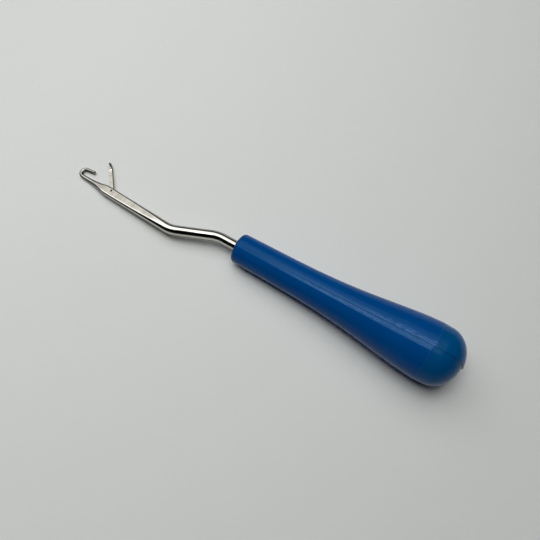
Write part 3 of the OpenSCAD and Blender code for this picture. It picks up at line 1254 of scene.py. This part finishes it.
    def draw(self) -> tuple[Object, Matrix]:
        """Draws the latch and bores its eye.

        Returns:
            The latch and its frame's placing, as the latch stands in the photograph.
        """
        dipped = shift(self.spoon_x, -self.spoon_sink) @ turn(-self.spoon_dip)
        rings = [[Vector((x, y, z)) for y, z in shape] for x, shape in self.strip()]
        rings += [[dipped @ Vector((x, y, z)) for y, z in shape] for x, shape in self.spoon()]
        latch = loft("latch_strip", rings)
        through = [(z, self.bore_r) for z in (-self.bore_half, self.bore_half)]
        cut(latch, [turned("latch_bore", through, self.bore_sides)])
        mark(latch, self.marks)
        return latch, self.stance.neck() @ self.stance.rivet() @ turn(self.rest)


@dataclass
class ClosedRivet(Piece):
    """The rivet, closed flush with the blade and punched in the middle of each end.

    The punch's form is pairs of shares of its depth and its radius.
    """

    radius: float = 0.6
    half_len: float = 1.45
    edge: float = 0.05
    punch_r: float = 0.42
    punch_depth: float = 0.34
    punch_form: tuple[Point, ...] = ((1.0, 0.0), (0.82, 0.3), (0.4, 0.68), (0.0, 0.94), (0.0, 1.12))
    rim_form: Span = (0.85, 0.97)
    sides: int = 48

    solid: ClassVar[str] = "rivet"

    def outline(self) -> list[Point]:
        """Draws the turned outline from the lower punch mark to the upper one.

        Returns:
            Pairs of place along the axis and radius.
        """
        top = [(self.half_len - self.punch_depth * d, self.punch_r * r) for d, r in self.punch_form]
        top += [(self.half_len, self.radius * share) for share in self.rim_form]
        top.append((self.half_len - self.edge, self.radius))
        return [(-z, r) for z, r in top] + top[::-1]

    def marks(self, at: Vector) -> dict[str, float]:
        """Returns the painted shade at a place, which darkens the punch marks."""
        return {"painted_shade": 1.0 if math.hypot(at.x, at.y) < self.punch_r else 0.0}

    def draw(self) -> tuple[Object, Matrix]:
        """Draws the rivet, with its axis along Z.

        Returns:
            The rivet and its frame's placing.
        """
        rivet = turned("rivet_pin", self.outline(), self.sides)
        mark(rivet, self.marks)
        return rivet, self.stance.neck() @ self.stance.rivet()


@dataclass(frozen=True)
class Card:
    """A long card that curves over the table from one tilt to another, about X or Y."""

    name: str
    start: float
    end: float
    grey: float
    about_x: bool = True
    radius: float = 3.0
    half_len: float = 8.0
    steps: int = 24

    def build(self) -> None:
        """Hangs the card, which the camera doesn't see but polished metal does."""
        corners: list[Vector] = []
        for t in even(1.0, self.steps, first=0):
            tilt = self.start + (self.end - self.start) * t
            aside, up = self.radius * sin_deg(tilt), self.radius * cos_deg(tilt)
            for end in (-self.half_len, self.half_len):
                corners.append(Vector((end, aside, up) if self.about_x else (aside, end, up)))
        mesh = bpy.data.meshes.new(self.name)
        faces = [(2 * k, 2 * k + 1, 2 * k + 3, 2 * k + 2) for k in range(self.steps)]
        mesh.from_pydata(corners, [], faces)
        matt = {"Roughness": 1.0, "Specular_IOR_Level": 0.0}
        mesh.materials.append(Skin(self.name).dress(Base_Color=(self.grey,) * 3, **matt))
        card = link(self.name, mesh)
        card.visible_camera = False


@dataclass(frozen=True)
class Softbox:
    """A soft rectangular lamp that hangs level over the table."""

    name: str
    low: Point
    high: Point
    strength: float
    height: float = 0.6

    def build(self) -> None:
        """Hangs the lamp, whose strength is the radiance of its face."""
        light = bpy.data.lights.new(self.name, "AREA")
        light.shape = "RECTANGLE"
        light.size, light.size_y = (b - a for a, b in zip(self.low, self.high))
        light.energy = self.strength * math.pi * light.size * light.size_y
        lamp = link(self.name, light)
        lamp.location = (*((a + b) / 2 for a, b in zip(self.low, self.high)), self.height)
        lamp.visible_camera = False


@dataclass
class Studio:
    """Pale table with painted shade towards the butt's end, in a plain pale room, two overhead softboxes,
    dark cards, and the camera.

    The cards stand on the camera's side, low on the far side and at both ends. They give
    polished steel its dark bands.
    """

    table_light: Triple = (0.88, 0.9, 0.88)
    table_shade: Triple = (0.74, 0.755, 0.735)
    table_reach: float = 12.0
    shade_ends: Span = (-0.10, 0.12)
    mottle: float = 0.03
    room_grey: float = 1.07
    cards: tuple[Card, ...] = (
        Card("near_card", -10.5, -73.0, 0.008),
        Card("near_low_card", -73.0, -88.5, 0.12),
        Card("far_card", 48.0, 88.5, 0.1),
        Card("butt_card", 11.5, 88.5, 0.16, about_x=False, radius=4.0),
        Card("hook_card", -62.0, -88.5, 0.12, about_x=False, radius=4.0),
    )
    softboxes: tuple[Softbox, ...] = (
        Softbox("fill_box", (-0.72, -0.12), (0.12, 0.42), 0.88),
        Softbox("key_box", (-0.18, -0.108), (0.108, 0.15), 3.15, height=0.57),
    )
    camera_place: Triple = (0.04092, -0.05768, 0.19641)
    camera_right: Triple = (0.85527, 0.51819, 0.0)
    camera_up: Triple = (-0.48996, 0.80867, 0.32557)
    lens: float = 36.067

    def table(self) -> None:
        """Builds the table, matt with a faint mottle and painted shade that darkens it from the hook's end
        towards the butt's end.
        """
        skin = Skin("table_top")
        place = skin.place()
        cloud = skin.noise(Vector=place, Scale=60.0, Detail=4.0, Roughness=0.6)
        along = skin.add("ShaderNodeSeparateXYZ", place)
        # Painted shade: the colour runs from table_light to table_shade along X, towards the butt's end,
        # where less light falls.
        tone = skin.maths("MULTIPLY_ADD", cloud, self.mottle, along)
        tone = skin.spread(tone, *self.shade_ends)
        colour = skin.blend(tone, self.table_light, self.table_shade)
        far = self.table_reach
        mesh = bpy.data.meshes.new("table")
        corners = [(-far, -far, 0), (far, -far, 0), (far, far, 0), (-far, far, 0)]
        mesh.from_pydata([Vector(corner) for corner in corners], [], [(0, 1, 2, 3)])
        mesh.materials.append(skin.dress(Base_Color=colour, Roughness=0.6, Specular_IOR_Level=0.15))
        link("table", mesh)

    def room(self) -> None:
        """Sets the room, evenly pale all round."""
        world = bpy.data.worlds.new("room")
        world.use_nodes = True
        white = {"Color": (1.0, 1.0, 1.0), "Strength": self.room_grey}
        NodeTree(world.node_tree).feed(world.node_tree.nodes["Background"], white)
        bpy.context.scene.world = world

    def camera(self) -> None:
        """Sets the camera where the photograph was taken from."""
        lens = bpy.data.cameras.new("camera")
        lens.lens = self.lens
        lens.sensor_width = 36.0
        lens.clip_start = 0.01
        right, up = Vector(self.camera_right), Vector(self.camera_up)
        axes = Matrix((right, up, right.cross(up))).transposed()
        camera = link("camera", lens)
        camera.matrix_world = shift(*self.camera_place) @ axes.to_4x4()
        bpy.context.scene.camera = camera

    def build(self) -> None:
        """Builds the whole studio."""
        self.table()
        for fitting in (*self.cards, *self.softboxes):
            fitting.build()
        self.room()
        self.camera()
        bpy.context.scene.view_settings.view_transform = "Standard"


def main() -> None:
    """Builds the pieces in order, then the studio."""
    logging.basicConfig(level=logging.INFO, format="%(name)s %(message)s")
    stance = Stance()
    plastic = MouldedPlastic().build()
    plate = NickelPlate("nickel_shank").build()
    latch_plate = NickelPlate("nickel_latch", seed=5.0, brushed_roughness=0.2).build()
    rivet_plate = NickelPlate("nickel_rivet", seed=9.0, always_brushed=1.0).build()
    for piece in (
        MouldedHandle(stance, plastic),
        CrankedShank(stance, plate),
        SwingingLatch(stance, latch_plate),
        ClosedRivet(stance, rivet_plate),
    ):
        made = piece.build()
        log.info("%s: %d faces", made.name, len(made.data.polygons))
    Studio().build()


if __name__ == "__main__":
    main()
